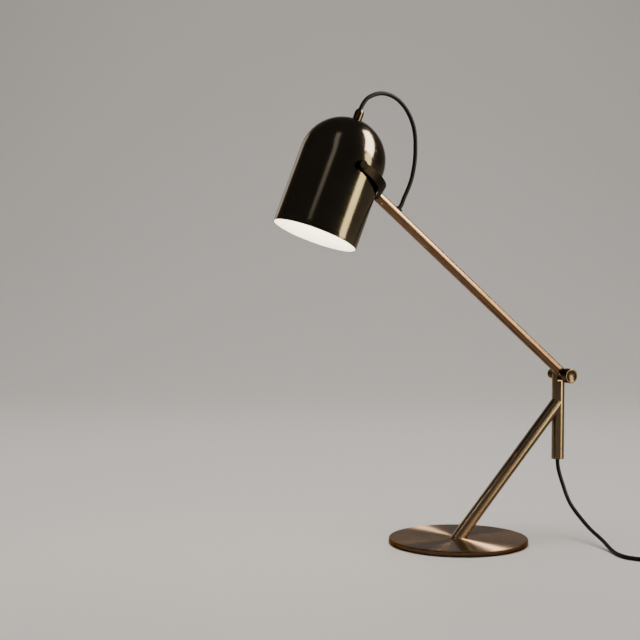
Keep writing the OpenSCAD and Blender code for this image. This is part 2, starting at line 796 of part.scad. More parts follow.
module coil_tie() {
    room = 0.6;
    low = coil_in_r - cord_r - room;
    high = coil_out_r + cord_r + room;
    top = coil_high_z + cord_r + 0.2;
    color("black") translate([coil_x - tie_w / 2, coil_y, 0]) rotate([90, 0, 90])
        linear_extrude(tie_w) translate([(low + high) / 2, (top + tie_t) / 2]) difference() {
            round_rect([high - low + 2 * tie_t, top + tie_t], 2 + tie_t);
            round_rect([high - low, top - tie_t], 2);
        }
}

module plug_lead() {
    start = coil_loops[coil_count] + [0, cord_d, 0];
    rise = plug_axis_z - start.z;
    run = plug_y + cord_inside - start.y;
    color("black") tube([start, start + [0, cord_d, 0],
        for (u = [0.3, 0.45, 0.6, 0.75]) start + [0, u * run, ease((u - 0.15) / 0.7) * rise],
        start + [0, run - cord_d, rise], start + [0, run, rise]],
        cord_r, cord_sides, [0, 0, 1]);
}

module switch_outline(inset) {
    translate([switch_len / 2, 0])
        round_rect([switch_len - 2 * inset, switch_w - 2 * inset], switch_corner - inset);
}

module switch_half() {
    difference() {
        linear_extrude(switch_axis_z) switch_outline(0);
        translate([0, 0, switch_wall]) linear_extrude(switch_axis_z) switch_outline(switch_wall);
    }
    for (x = [boss_x, switch_len - boss_x], y = [-1, 1])
        translate([x, y * (switch_w / 2 - boss_d / 2), 0]) cylinder(d = boss_d, h = switch_axis_z);
}

module at_switch_screws() {
    for (x = [boss_x, switch_len - boss_x], y = [-1, 1])
        translate([x, y * (switch_w / 2 - boss_d / 2), 0]) children();
}

module cord_way() {
    translate([-over, 0, switch_axis_z]) rotate([0, 90, 0])
        cylinder(d = cord_d + 0.2, h = switch_len + 2 * over);
}

module switch_base() {
    color("black") at_switch() difference() {
        switch_half();
        cord_way();
        at_switch_screws() {
            translate([0, 0, -over]) cylinder(d = screw_d + 0.2, h = switch_h);
            translate([0, 0, -over]) cylinder(d = screw_head_d + 0.2, h = screw_head_h + 0.3 + over);
        }
    }
}

module at_rocker() {
    at_switch() translate([switch_len / 2, 0, rocker_pivot_z]) children();
}

module switch_cover() {
    window = [rocker_len + 2 * rocker_room, rocker_w + 2 * rocker_room];
    color("black") difference() {
        union() {
            at_switch() translate([0, 0, switch_h]) mirror([0, 0, 1]) switch_half();
            for (side = [-1, 1]) at_rocker()
                translate([-lug_drop, side * (window.y / 2 + lug_t / 2) - lug_t / 2, -lug_drop])
                    cube([2 * lug_drop, lug_t, lug_drop + switch_h - switch_wall - rocker_pivot_z + 0.2]);
        }
        at_switch() cord_way();
        at_switch() at_switch_screws() translate([0, 0, switch_axis_z - over])
            cylinder(d = screw_d + 2 * slip, h = switch_axis_z - switch_wall);
        at_rocker() linear_extrude(far) square(window, center = true);
        at_rocker() rotate([90, 0, 0])
            cylinder(d = rocker_pin_d + 2 * slip, h = rocker_pin_len + 2 * slip, center = true);
    }
}

module switch_rocker() {
    half = rocker_len / 2;
    color("black") at_rocker() rotate([0, -rocker_tilt, 0]) difference() {
        rotate([90, 0, 0]) translate([0, 0, -rocker_w / 2]) linear_extrude(rocker_w)
            polygon([[-half, 0], [-half, rocker_rise], [0, rocker_rise - rocker_dish],
                [half, rocker_rise], [half, 0], [3, -rocker_drop], [-3, -rocker_drop]]);
        rotate([90, 0, 0]) cylinder(d = rocker_pin_d + 2 * slip, h = 2 * rocker_w, center = true);
    }
}

module rocker_pin() {
    color("silver") at_rocker() rotate([90, 0, 0])
        cylinder(d = rocker_pin_d, h = rocker_pin_len, center = true);
}

module switch_screws() {
    color("silver") at_switch() at_switch_screws() {
        translate([0, 0, 0.3]) cylinder(d = screw_head_d, h = screw_head_h);
        translate([0, 0, 0.3]) cylinder(d = screw_d, h = switch_axis_z + 4);
    }
}

module switch_terminals() {
    color("gold") at_switch() for (x = [-1, 1])
        translate([switch_len / 2 + x * 12 - terminal.x / 2, -terminal.y / 2, switch_wall])
            cube([terminal.x, terminal.y, terminal.z - cord_r]);
}

module plug_body() {
    color("black") at_plug() difference() {
        union() {
            cylinder(d1 = relief_tip_d, d2 = relief_root_d, h = relief_len);
            translate([0, 0, relief_len]) linear_extrude(plug_len)
                round_rect([plug_w, plug_t], plug_corner);
        }
        translate([0, 0, -over]) cylinder(d = cord_d + 0.2, h = relief_len / 2 + over);
        for (side = [-1, 1])
            translate([side * prong_gap / 2, 0, relief_len + plug_len - prong_inside])
                cylinder(d = prong_root_d + 2 * slip, h = prong_inside + over);
    }
}

module plug_pins() {
    color("silver") at_plug() for (side = [-1, 1])
        translate([side * prong_gap / 2, 0, relief_len + plug_len]) {
            cylinder(d = prong_d, h = prong_len);
            translate([0, 0, -prong_inside]) cylinder(d = prong_root_d, h = prong_inside + over);
        }
}

base_plate();
base_pad();
stem_bolt();
stem_washer();
stem_plug();
lower_stem();
upright_tube();
cord_bush();
upright_lead();
upright_head();
elbow_bolt();
elbow_cap();
friction_washer();
elbow_knob();
knob_washer();
arm_knuckle();
arm_tube();
arm_lead();
arm_grommet();
arm_tip();
yoke_screw();
yoke();
head_cord();
shade_shell();
pivot_bushes();
pivot_screws();
pivot_nuts();
cord_grip();
grip_screw();
holder_lead();
nipple();
nipple_nut();
holder_cap();
holder_core();
holder_sleeve();
screw_shell();
centre_contact();
bulb_cap();
bulb_glass();
mains_cord();
switch_base();
switch_cover();
switch_rocker();
rocker_pin();
switch_screws();
switch_terminals();
cord_coil();
coil_tie();
plug_lead();
plug_body();
plug_pins();
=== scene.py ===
"""Adjustable brass table lamp on a plain pale floor, seen from the photograph's viewing angle."""

import json
from math import cos, hypot, pi, radians, sin, sqrt

import bpy
from mathutils import Matrix, Quaternion, Vector


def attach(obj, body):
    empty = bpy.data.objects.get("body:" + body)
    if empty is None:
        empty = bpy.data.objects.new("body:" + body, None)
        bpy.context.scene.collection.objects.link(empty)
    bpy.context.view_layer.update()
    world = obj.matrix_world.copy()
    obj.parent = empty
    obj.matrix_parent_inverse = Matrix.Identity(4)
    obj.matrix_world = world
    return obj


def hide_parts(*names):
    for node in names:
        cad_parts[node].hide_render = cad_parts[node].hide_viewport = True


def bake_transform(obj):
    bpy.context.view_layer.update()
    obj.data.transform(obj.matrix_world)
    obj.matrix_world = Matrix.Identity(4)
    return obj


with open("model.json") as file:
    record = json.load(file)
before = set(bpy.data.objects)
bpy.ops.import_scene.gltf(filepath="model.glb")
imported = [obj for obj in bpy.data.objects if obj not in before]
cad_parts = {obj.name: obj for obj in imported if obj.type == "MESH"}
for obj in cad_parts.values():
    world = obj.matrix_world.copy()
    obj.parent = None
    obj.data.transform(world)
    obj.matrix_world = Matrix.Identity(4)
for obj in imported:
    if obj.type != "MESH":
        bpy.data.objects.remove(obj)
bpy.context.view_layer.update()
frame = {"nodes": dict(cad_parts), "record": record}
nodes = frame["nodes"]

# Places of the lamp, in metres, as in the part's source.
PIVOT = Vector((0.148, -0.012, 0.2015))
ARM_ANGLE = radians(39.4)
YOKE_ANGLE = radians(33.6)
SHADE_LEAN = radians(22.3)
STEM_WAY = Vector((0.148, 0, 0.1605)).normalized()
ARM_LEN = 0.350
YOKE_REACH = 0.05825
ARM_WAY = Vector((-cos(ARM_ANGLE), 0, sin(ARM_ANGLE)))
ARM_NORMAL = Vector((sin(ARM_ANGLE), 0, cos(ARM_ANGLE)))
YOKE_WAY = Vector((-cos(YOKE_ANGLE), 0, sin(YOKE_ANGLE)))
HEAD = PIVOT + ARM_LEN * ARM_WAY + YOKE_REACH * YOKE_WAY
SHADE_UP = Vector((sin(SHADE_LEAN), 0, cos(SHADE_LEAN)))
SHADE_FRAME = Matrix.Translation(HEAD) @ Matrix.Rotation(SHADE_LEAN, 4, "Y")

SHADE_R = 0.05025
SHADE_WALL = 0.0009
MOUTH_Z = -0.086
DOME_Z = 0.00775
DOME_HOLE_R = 0.00405
BASE_R = 0.085
BASE_LOW = 0.001
BASE_TOP = 0.007
BASE_ROUND = 0.001
CORD_D = 0.005


# Materials

def new_material(name):
    """An empty node material, with its tree and its shader."""
    material = bpy.data.materials.new(name)
    material.use_nodes = True
    tree = material.node_tree
    shader = tree.nodes["Principled BSDF"]
    return material, tree, shader


def add_node(tree, kind, **sockets):
    """A node with some of its inputs set, by their names."""
    node = tree.nodes.new(kind)
    for name, value in sockets.items():
        node.inputs[name.replace("_", " ")].default_value = value
    return node


def coords_of(tree, kind, scale):
    """Object or UV coordinates stretched by scale, one factor for each axis."""
    coords = tree.nodes.new("ShaderNodeTexCoord")
    mapping = tree.nodes.new("ShaderNodeMapping")
    mapping.inputs["Scale"].default_value = scale
    tree.links.new(coords.outputs[kind], mapping.inputs["Vector"])
    return mapping.outputs["Vector"]


def spread(tree, value, low, high):
    """Maps a 0 to 1 value to the range low to high."""
    node = tree.nodes.new("ShaderNodeMapRange")
    node.inputs["From Min"].default_value = 0.3
    node.inputs["From Max"].default_value = 0.7
    node.inputs["To Min"].default_value = low
    node.inputs["To Max"].default_value = high
    tree.links.new(value, node.inputs["Value"])
    return node.outputs["Result"]


def tint(tree, value, color, change):
    """A colour that varies around color, by the share change, with a 0 to 1 value."""
    ramp = tree.nodes.new("ShaderNodeValToRGB")
    ramp.color_ramp.elements[0].position = 0.3
    ramp.color_ramp.elements[0].color = (*[c * (1 - change) for c in color], 1)
    ramp.color_ramp.elements[1].position = 0.7
    ramp.color_ramp.elements[1].color = (*[c * (1 + change) for c in color], 1)
    tree.links.new(value, ramp.inputs["Fac"])
    return ramp.outputs["Color"]


def grain_noise(tree, coords, detail=3.0):
    """Noise from 0 to 1 on the given coordinates."""
    noise = add_node(tree, "ShaderNodeTexNoise", Scale=1.0, Detail=detail)
    tree.links.new(coords, noise.inputs["Vector"])
    return noise.outputs["Fac"]


def raise_grain(tree, shader, height, depth):
    """Bump from a 0 to 1 height, depth metres deep."""
    bump = add_node(tree, "ShaderNodeBump", Strength=0.5, Distance=depth)
    tree.links.new(height, bump.inputs["Height"])
    tree.links.new(bump.outputs["Normal"], shader.inputs["Normal"])


def brushed_round(tree, shader, axis):
    """Turns the brush marks of a tube round its axis."""
    way = tree.nodes.new("ShaderNodeVectorTransform")
    way.convert_from = "OBJECT"
    way.convert_to = "WORLD"
    way.inputs["Vector"].default_value = axis
    surface = tree.nodes.new("ShaderNodeNewGeometry")
    round_way = tree.nodes.new("ShaderNodeVectorMath")
    round_way.operation = "CROSS_PRODUCT"
    tree.links.new(surface.outputs["Normal"], round_way.inputs[0])
    tree.links.new(way.outputs["Vector"], round_way.inputs[1])
    tree.links.new(round_way.outputs["Vector"], shader.inputs["Tangent"])


def brushed_along_u(tree, shader):
    """Turns the brush marks along the UV map's u direction."""
    tangent = tree.nodes.new("ShaderNodeTangent")
    tangent.direction_type = "UV_MAP"
    tangent.uv_map = "UVMap"
    tree.links.new(tangent.outputs["Tangent"], shader.inputs["Tangent"])


def brass(name, color, roughness, grain, anisotropy=0.0, axis=None, edge=(1, 1, 1), coat=0.0):
    """Aged brass with patches of tarnish; when anisotropic, brushed round axis or, without one, along the UV
    map's u.
    """
    material, tree, shader = new_material(name)
    shader.inputs["Metallic"].default_value = 1.0
    shader.inputs["Specular Tint"].default_value = (*edge, 1)
    if coat:
        shader.inputs["Coat Weight"].default_value = coat
        shader.inputs["Coat Roughness"].default_value = 0.1
    if anisotropy:
        shader.inputs["Anisotropic"].default_value = anisotropy
        shader.inputs["Anisotropic Rotation"].default_value = 0.25
    if axis:
        brushed_round(tree, shader, axis)
    elif anisotropy:
        brushed_along_u(tree, shader)
    kind = "UV" if anisotropy and not axis else "Object"
    tarnish = grain_noise(tree, coords_of(tree, "Object", (40, 40, 40)))
    tree.links.new(tint(tree, tarnish, color, 0.1), shader.inputs["Base Color"])
    marks = grain_noise(tree, coords_of(tree, kind, grain))
    rough = spread(tree, marks, roughness - 0.04, roughness + 0.06)
    tree.links.new(rough, shader.inputs["Roughness"])
    return material


def grained(name, color, roughness, grain, depth, change=0.12, metallic=0.0, gloss=0.5):
    """A finish with a fine grain: grain points to the metre, depth metres deep."""
    material, tree, shader = new_material(name)
    shader.inputs["Metallic"].default_value = metallic
    shader.inputs["Specular IOR Level"].default_value = gloss
    noise = grain_noise(tree, coords_of(tree, "Object", (grain, grain, grain)), detail=4.0)
    tree.links.new(tint(tree, noise, color, change), shader.inputs["Base Color"])
    tree.links.new(spread(tree, noise, roughness - 0.05, roughness + 0.05), shader.inputs["Roughness"])
    raise_grain(tree, shader, noise, depth)
    return material


def glowing(name, color, strength):
    """Frosted glass lit from inside."""
    material = grained(name, color, 0.4, 900, 0.00002, change=0.03)
    shader = material.node_tree.nodes["Principled BSDF"]
    shader.inputs["Emission Color"].default_value = (*color, 1)
    shader.inputs["Emission Strength"].default_value = strength
    return material


FINE_GRAIN = (2500, 2500, 2500)
TUBE_COLOR = (0.125, 0.083, 0.045)
# Tints of the finishes at grazing angles
WARM_EDGE = (0.8, 0.66, 0.5)
DULL_EDGE = (0.5, 0.4, 0.3)
GREY_EDGE = (0.66, 0.64, 0.6)


def tube_brass(name, color, roughness, axis):
    """Lacquered brass, brushed round a tube's axis."""
    return brass(name, color, roughness, FINE_GRAIN, anisotropy=0.9, axis=axis, edge=WARM_EDGE, coat=0.4)


TURNED_BRASS = brass("turned_brass", TUBE_COLOR, 0.17, FINE_GRAIN, edge=WARM_EDGE)
KNOB_BRASS = brass("knob_brass", (0.06, 0.04, 0.026), 0.2, FINE_GRAIN, edge=WARM_EDGE)
UPRIGHT_BRASS = tube_brass("upright_brass", TUBE_COLOR, 0.27, (0, 0, 1))
STEM_BRASS = tube_brass("stem_brass", TUBE_COLOR, 0.24, STEM_WAY)
ARM_BRASS = tube_brass("arm_brass", (0.15, 0.077, 0.036), 0.3, ARM_WAY)
SHADE_BRASS = brass("shade_brass", (0.085, 0.068, 0.045), 0.14, (3, 900, 1), anisotropy=0.4,
                    edge=GREY_EDGE)
BASE_BRASS = brass("base_brass", (0.22, 0.138, 0.08), 0.42, (3, 700, 1), anisotropy=1.0, edge=DULL_EDGE,
                   coat=0.3)
# Painted shade: the foot's rim is coloured darker than the top face of the same brass plate
RIM_SHADED_BRASS = brass("rim_brass_painted_shade", (0.09, 0.052, 0.031), 0.3, FINE_GRAIN, edge=DULL_EDGE)
DARK_BRASS = brass("dark_brass", (0.009, 0.0065, 0.0045), 0.4, FINE_GRAIN, edge=GREY_EDGE)
WHITE_PAINT = grained("white_paint", (0.88, 0.86, 0.81), 0.5, 1500, 0.00002, change=0.02)
STEEL = grained("plated_steel", (0.52, 0.5, 0.47), 0.3, 3000, 0.00001, metallic=1.0)
BRIGHT_BRASS = grained("contact_brass", (0.72, 0.54, 0.27), 0.25, 2000, 0.00001, metallic=1.0)
BLACK_PLASTIC = grained("black_plastic", (0.016, 0.015, 0.014), 0.42, 3500, 0.00003, gloss=0.22)
BLACK_CORD = grained("black_cord", (0.011, 0.0068, 0.005), 0.6, 2200, 0.00003, gloss=0.12)
FELT = grained("felt", (0.03, 0.03, 0.03), 0.9, 1800, 0.0002, change=0.4)
INSULATOR = grained("white_insulator", (0.8, 0.78, 0.74), 0.45, 1200, 0.00002, change=0.05)
BULB = glowing("bulb_glow", (0.97, 0.85, 0.68), 45.0)

SLOT_MATERIALS = {
    "aged_brass": TURNED_BRASS,
    "shade_brass": SHADE_BRASS,
    "plated_steel": STEEL,
    "contact_brass": BRIGHT_BRASS,
    "black_plastic": BLACK_PLASTIC,
    "black_cord": BLACK_CORD,
    "felt": FELT,
    "white_insulator": INSULATOR,
    "bulb_glass": BULB,
}
for part in frame["record"]["subparts"]:
    nodes[part["node"]].data.materials.clear()
    nodes[part["node"]].data.materials.append(SLOT_MATERIALS[part["material_slot"]])
OWN_FINISH = {
    "upright_tube": UPRIGHT_BRASS,
    "lower_stem": STEM_BRASS,
    "arm_tube": ARM_BRASS,
    "elbow_knob": KNOB_BRASS,
    "elbow_cap": KNOB_BRASS,
    "cord_grip": KNOB_BRASS,
    "yoke": DARK_BRASS,
    "pivot_bushes": DARK_BRASS,
    "pivot_screws": DARK_BRASS,
}
for name, finish in OWN_FINISH.items():
    nodes[name].data.materials[0] = finish


# Meshes

def mesh_object(name, points, faces, uvs=None, face_materials=None, materials=(), smooth=True):
    """A mesh piece in the row frame, at the origin and unturned. uvs holds one pair for each face corner."""
    mesh = bpy.data.meshes.new(name)
    mesh.from_pydata([tuple(p) for p in points], [], faces)
    for material in materials:
        mesh.materials.append(material)
    if uvs:
        layer = mesh.uv_layers.new(name="UVMap")
        for i, uv in enumerate(uvs):
            layer.data[i].uv = uv
    for i, polygon in enumerate(mesh.polygons):
        polygon.use_smooth = smooth
        if face_materials:
            polygon.material_index = face_materials[i]
    mesh.update()
    obj = bpy.data.objects.new(name, mesh)
    bpy.context.scene.collection.objects.link(obj)
    return obj


def lathe(name, profile, place, materials, steps=128, closed=False):
    """Turns a profile of (radius, height, material index) about Z, then puts it at place."""
    rows = len(profile)
    points = []
    for r, z, _ in profile:
        for k in range(steps):
            a = 2 * pi * k / steps
            points.append(place @ Vector((r * cos(a), r * sin(a), z)))
    along = [0.0]
    for (r0, z0, _), (r1, z1, _) in zip(profile, profile[1:]):
        along.append(along[-1] + hypot(r1 - r0, z1 - z0))
    faces, uvs, index = [], [], []
    for i in range(rows if closed else rows - 1):
        j = (i + 1) % rows
        v0 = along[i]
        v1 = along[j] if j else along[i] + hypot(profile[0][0] - profile[i][0], profile[0][1] - profile[i][1])
        for k in range(steps):
            m = (k + 1) % steps
            faces.append((i * steps + k, i * steps + m, j * steps + m, j * steps + k))
            u0, u1 = k / steps, (k + 1) / steps
            uvs += [(u0, v0), (u1, v0), (u1, v1), (u0, v1)]
            index.append(profile[i][2])
    return mesh_object(name, points, faces, uvs, index, materials)


def arc(cx, cz, r, start, end, count, index):
    """Points of an arc in a profile, from angle start to end in degrees."""
    found = []
    for i in range(count + 1):
        a = radians(start + (end - start) * i / count)
        found.append((cx + r * cos(a), cz + r * sin(a), index))
    return found


# Shade: brass outside, white paint inside, a rounded lip and a hole for the nipple
OUTSIDE, INSIDE = 0, 1


def shade_profile():
    """Outside from the mouth to the dome's hole, then inside back to the lip."""
    inner = SHADE_R - SHADE_WALL
    lip = SHADE_WALL / 2
    hole_out = SHADE_R * SHADE_R - DOME_HOLE_R * DOME_HOLE_R
    hole_in = inner * inner - DOME_HOLE_R * DOME_HOLE_R
    top_out = pi / 2 - DOME_HOLE_R / sqrt(hole_out)
    top_in = pi / 2 - DOME_HOLE_R / sqrt(hole_in)
    outside = [(SHADE_R, MOUTH_Z + lip + (DOME_Z - MOUTH_Z - lip) * i / 12, OUTSIDE) for i in range(12)]
    outside += arc(0, DOME_Z, SHADE_R, 0, top_out * 180 / pi, 40, OUTSIDE)
    inside = arc(0, DOME_Z, inner, top_in * 180 / pi, 0, 40, INSIDE)
    inside += [(inner, DOME_Z + (MOUTH_Z + lip - DOME_Z) * i / 12, INSIDE) for i in range(1, 12)]
    edge = arc(inner + lip, MOUTH_Z + lip, lip, 180, 360, 8, OUTSIDE)[:-1]
    return outside + inside + edge


shade = lathe("shade", shade_profile(), SHADE_FRAME, [SHADE_BRASS, WHITE_PAINT], closed=True)
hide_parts("shade_shell")
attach(shade, "shade")


# Foot plate: turned, with a rounded upper edge and a rim painted darker as shade
FACE, RIM = 0, 1


def base_profile():
    """Underside, rim, rounded edge and top face."""
    under = [(BASE_R * i / 16, BASE_LOW, FACE) for i in range(1, 16)] + [(BASE_R, BASE_LOW, RIM)]
    top_edge = arc(BASE_R - BASE_ROUND, BASE_TOP - BASE_ROUND, BASE_ROUND, 0, 90, 6, RIM)[:-1]
    top = [((BASE_R - BASE_ROUND) * i / 16, BASE_TOP, FACE) for i in range(16, 0, -1)]
    return under + top_edge + top


base = lathe("foot_plate", base_profile(), Matrix.Identity(4), [BASE_BRASS, RIM_SHADED_BRASS], steps=192,
             closed=True)
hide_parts("base_plate")
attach(base, "stand")


# Cords, along the same points as in the part's source
MAINS_ROUTE = [
    (148, 0, 94.5), (148, 0, 90), (148, -2.2, 81), (148, -7, 71), (148, -13, 61), (147.5, -20, 51),
    (147, -28.5, 42), (146.5, -39, 34.5), (146, -52, 27), (144.5, -65.5, 21), (142.5, -80, 16),
    (140, -96, 12), (137, -110.5, 8.5), (133.5, -124, 5), (130, -136.5, 3), (126.5, -147.5, 2.6),
    (124.5, -158, 2.6), (124.5, -168.5, 2.6), (127.5, -177, 2.6), (131.5, -184, 2.7), (138, -190.5, 3.4),
    (146.5, -195.5, 5), (156, -197.8, 7), (164.5, -198, 8.4), (170.5, -198, 8.7), (176, -198, 8.7),
]
HEAD_ROUTE = [
    (85.5, -35.5), (91, -24.5), (95.5, -13.5), (98.5, -1.5), (100.5, 11.5), (101, 24.5), (100.5, 37.5),
    (98, 50), (93, 61.5), (86, 71.5), (77, 79.5), (66.5, 84.5), (55, 86), (44, 83.5), (35, 78.5),
]
CORD_HOLE_AT = 0.317
GROMMET_TOP = 0.00745
GRIP_TOP = DOME_Z + sqrt(SHADE_R ** 2 - DOME_HOLE_R ** 2) + 0.013
COIL_TURNS = 7.25
COIL_RINGS = 24
COIL_IN_R = 0.020
COIL_STEP = 0.0055
COIL_LOW_Z = 0.0032
COIL_HIGH_Z = COIL_LOW_Z + COIL_STEP
COIL_OUT_R = COIL_IN_R + COIL_STEP * COIL_TURNS / 2
SWITCH_END = 0.238
SWITCH_Y = -0.198
SWITCH_HALF_W = 0.012
CORD_INSIDE = 0.004
COIL_ROOM = COIL_OUT_R + CORD_D / 2 + 0.001
COIL_X = SWITCH_END + sqrt(COIL_ROOM ** 2 - (COIL_OUT_R - SWITCH_HALF_W) ** 2)
COIL_Y = SWITCH_Y + COIL_OUT_R
PLUG_Y = COIL_Y + 0.040
PLUG_Z = 0.007
CLIMB = 0.5


def ease(u):
    """A smooth step from 0 to 1."""
    v = max(0.0, min(1.0, u))
    return v * v * (3 - 2 * v)


def coil_point(t):
    """The cord's place after t turns: inward in the upper layer, outward in the lower one."""
    r = COIL_IN_R + COIL_STEP * abs(t - COIL_TURNS / 2)
    rise = ease((COIL_TURNS / 2 - t) / CLIMB + 0.5)
    a = 2 * pi * t - pi / 2
    return Vector((COIL_X + r * cos(a), COIL_Y + r * sin(a), COIL_LOW_Z + COIL_STEP * rise))


def coil_route():
    """From inside the switch, through the coil, to inside the plug's strain relief."""
    route = [Vector((SWITCH_END - CORD_INSIDE + 0.0085 * i, SWITCH_Y, COIL_HIGH_Z)) for i in range(4)]
    count = round(COIL_TURNS * COIL_RINGS)
    route += [coil_point(i * COIL_TURNS / count) for i in range(count + 1)]
    start = route[-1] + Vector((0, CORD_D, 0))
    run = PLUG_Y + CORD_INSIDE - start.y
    rise = PLUG_Z - start.z
    route += [start, start + Vector((0, CORD_D, 0))]
    route += [start + Vector((0, u * run, ease((u - 0.15) / 0.7) * rise)) for u in (0.3, 0.45, 0.6, 0.75)]
    route += [start + Vector((0, run - CORD_D, rise)), start + Vector((0, run, rise))]
    return route


def cord_curve(name, route):
    """A round cord as one smooth curve through the route."""
    curve = bpy.data.curves.new(name, "CURVE")
    curve.dimensions = "3D"
    curve.bevel_depth = CORD_D / 2
    curve.bevel_resolution = 3
    curve.resolution_u = 6
    curve.use_fill_caps = True
    spline = curve.splines.new("BEZIER")
    spline.bezier_points.add(len(route) - 1)
    for point, place in zip(spline.bezier_points, route):
        point.co = place
        point.handle_left_type = "AUTO"
        point.handle_right_type = "AUTO"
    curve.materials.append(BLACK_CORD)
    obj = bpy.data.objects.new(name, curve)
    bpy.context.scene.collection.objects.link(obj)
    return obj


def smooth_route(route, parts):
    """Extra points between those of the route, on a curve through them."""
    found = []
    last = len(route) - 1
    for i in range(last):
        p0, p1, p2, p3 = route[max(i - 1, 0)], route[i], route[i + 1], route[min(i + 2, last)]
        for k in range(parts):
            t = k / parts
            found.append(0.5 * (2 * p1 + (p2 - p0) * t + (2 * p0 - 5 * p1 + 4 * p2 - p3) * t * t
                                + (3 * p1 - p0 - 3 * p2 + p3) * t ** 3))
    return found + [route[last]]


def flat_tube(name, route, radius, sides, material):
    """A round tube along a route that lies in one plane square to Y."""
    points, faces = [], []
    across = Vector((0, 1, 0))
    last = len(route) - 1
    for i, place in enumerate(route):
        along = (route[min(i + 1, last)] - route[max(i - 1, 0)]).normalized()
        out = across.cross(along)
        for k in range(sides):
            a = 2 * pi * k / sides
            points.append(place + radius * (cos(a) * out + sin(a) * across))
    for i in range(last):
        for k in range(sides):
            m = (k + 1) % sides
            faces.append((i * sides + k, i * sides + m, (i + 1) * sides + m, (i + 1) * sides + k))
    faces.append(tuple(range(sides - 1, -1, -1)))
    faces.append(tuple(last * sides + k for k in range(sides)))
    return mesh_object(name, points, faces, materials=[material])


mains_route = [Vector(p) / 1000 for p in MAINS_ROUTE]
mains = cord_curve("mains_lead", mains_route)
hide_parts("mains_cord")
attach(mains, "stand")

# Ribs round the plug's strain relief, smaller towards its tip
RIB_COUNT = 6
RIB_START = 0.003
RIB_STEP = 0.0034
RIB_TIP_R = 0.0042
RIB_ROOT_R = 0.0060
RIB_SHARE = 0.09


def rib_tree(material):
    """Rings in a row along Z. Each is as wide as the relief at its place."""
    tree = bpy.data.node_groups.new("relief_ribs", "GeometryNodeTree")
    sockets = tree.interface
    sockets.new_socket("Geometry", in_out="INPUT", socket_type="NodeSocketGeometry")
    sockets.new_socket("Rib Count", in_out="INPUT", socket_type="NodeSocketInt")
    for label in ("Rib Step", "Tip Radius", "Root Radius", "Rib Share"):
        sockets.new_socket(label, in_out="INPUT", socket_type="NodeSocketFloat")
    sockets.new_socket("Geometry", in_out="OUTPUT", socket_type="NodeSocketGeometry")
    sizes = tree.nodes.new("NodeGroupInput")
    result = tree.nodes.new("NodeGroupOutput")
    step = tree.nodes.new("ShaderNodeCombineXYZ")
    row = tree.nodes.new("GeometryNodeMeshLine")
    ring = add_node(tree, "GeometryNodeCurvePrimitiveCircle", Resolution=40, Radius=1.0)
    section = add_node(tree, "GeometryNodeCurvePrimitiveCircle", Resolution=10)
    sweep = tree.nodes.new("GeometryNodeCurveToMesh")
    number = tree.nodes.new("GeometryNodeInputIndex")
    width = tree.nodes.new("ShaderNodeMapRange")
    place = tree.nodes.new("GeometryNodeInstanceOnPoints")
    solid = tree.nodes.new("GeometryNodeRealizeInstances")
    smooth = tree.nodes.new("GeometryNodeSetShadeSmooth")
    skin = add_node(tree, "GeometryNodeSetMaterial", Material=material)
    link = tree.links.new
    link(sizes.outputs["Rib Step"], step.inputs["Z"])
    link(sizes.outputs["Rib Count"], row.inputs["Count"])
    link(step.outputs["Vector"], row.inputs["Offset"])
    link(sizes.outputs["Rib Share"], section.inputs["Radius"])
    link(ring.outputs["Curve"], sweep.inputs["Curve"])
    link(section.outputs["Curve"], sweep.inputs["Profile Curve"])
    link(number.outputs["Index"], width.inputs["Value"])
    link(sizes.outputs["Rib Count"], width.inputs["From Max"])
    link(sizes.outputs["Tip Radius"], width.inputs["To Min"])
    link(sizes.outputs["Root Radius"], width.inputs["To Max"])
    link(row.outputs["Mesh"], place.inputs["Points"])
    link(sweep.outputs["Mesh"], place.inputs["Instance"])
    link(width.outputs["Result"], place.inputs["Scale"])
    link(place.outputs["Instances"], solid.inputs["Geometry"])
    link(solid.outputs["Geometry"], smooth.inputs["Geometry"])
    link(smooth.outputs["Geometry"], skin.inputs["Geometry"])
    link(skin.outputs["Geometry"], result.inputs["Geometry"])
    return tree


def relief_ribs(name, place, material):
    """The ribs as a plain mesh at place, which turns Z along the relief."""
    tree = rib_tree(material)
    maker = mesh_object("rib_maker", [], [])
    modifier = maker.modifiers.new("ribs", "NODES")
    modifier.node_group = tree
    values = {"Rib Count": RIB_COUNT, "Rib Step": RIB_STEP, "Rib Share": RIB_SHARE,
              "Tip Radius": RIB_TIP_R, "Root Radius": RIB_ROOT_R}
    for item in tree.interface.items_tree:
        if item.in_out == "INPUT" and item.name in values:
            modifier[item.identifier] = values[item.name]
    view = bpy.context.evaluated_depsgraph_get()
    mesh = bpy.data.meshes.new_from_object(maker.evaluated_get(view))
    bpy.data.objects.remove(maker)
    mesh.name = name
    mesh.transform(place)
    ribs = bpy.data.objects.new(name, mesh)
    bpy.context.scene.collection.objects.link(ribs)
    return ribs


RELIEF_TIP = Vector((COIL_X + COIL_OUT_R, PLUG_Y + RIB_START, PLUG_Z))
RELIEF_FRAME = Matrix.Translation(RELIEF_TIP) @ Matrix.Rotation(-pi / 2, 4, "X")
plug_ribs = relief_ribs("plug_ribs", RELIEF_FRAME, BLACK_PLASTIC)
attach(plug_ribs, "stand")

spare_route = coil_route()
spare = cord_curve("spare_lead", spare_route)
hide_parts("cord_coil", "plug_lead")
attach(spare, "stand")

loop_start = PIVOT + ARM_WAY * CORD_HOLE_AT + ARM_NORMAL * GROMMET_TOP
loop_end = HEAD + SHADE_UP * GRIP_TOP
loop_route = [loop_start, loop_start + ARM_NORMAL * CORD_D]
loop_route += [HEAD + Vector((x, 0, z)) / 1000 for x, z in HEAD_ROUTE]
loop_route += [loop_end + SHADE_UP * CORD_D, loop_end]
loop_line = smooth_route(loop_route, 4)
loop = flat_tube("head_loop", loop_line, CORD_D / 2, 16, BLACK_CORD)
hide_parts("head_cord")
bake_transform(loop)


